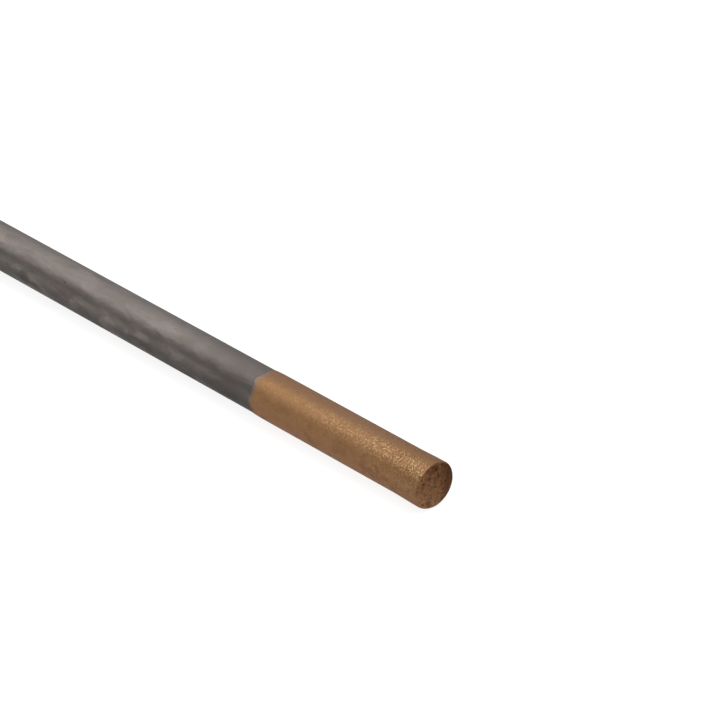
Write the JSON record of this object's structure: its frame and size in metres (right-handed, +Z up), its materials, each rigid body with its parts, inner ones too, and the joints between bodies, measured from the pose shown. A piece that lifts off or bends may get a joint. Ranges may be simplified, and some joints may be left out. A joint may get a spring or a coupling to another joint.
{
  "type": "tig tungsten electrode",
  "caption": "Straight round ground tungsten rod for arc welding, one end wrapped and capped by a thin gold colour-code lacquer, the other end bare and cut square.",
  "frame": {"origin": "on the rod's axis, at half the length of the metal", "axes": "+X along the rod towards the lacquered end, -X towards the bare end that is ground to a point for use, +Z up as the rod lies"},
  "size_m": [0.15, 0.0026, 0.0026],
  "materials": {
    "bare_tungsten": "satin ground",
    "gold_lacquer": "satin, metallic flake"
  },
  "bodies": {
    "root": {"tungsten_rod": "bare_tungsten", "tip_colour_coat": "gold_lacquer"}
  },
  "joints": []
}
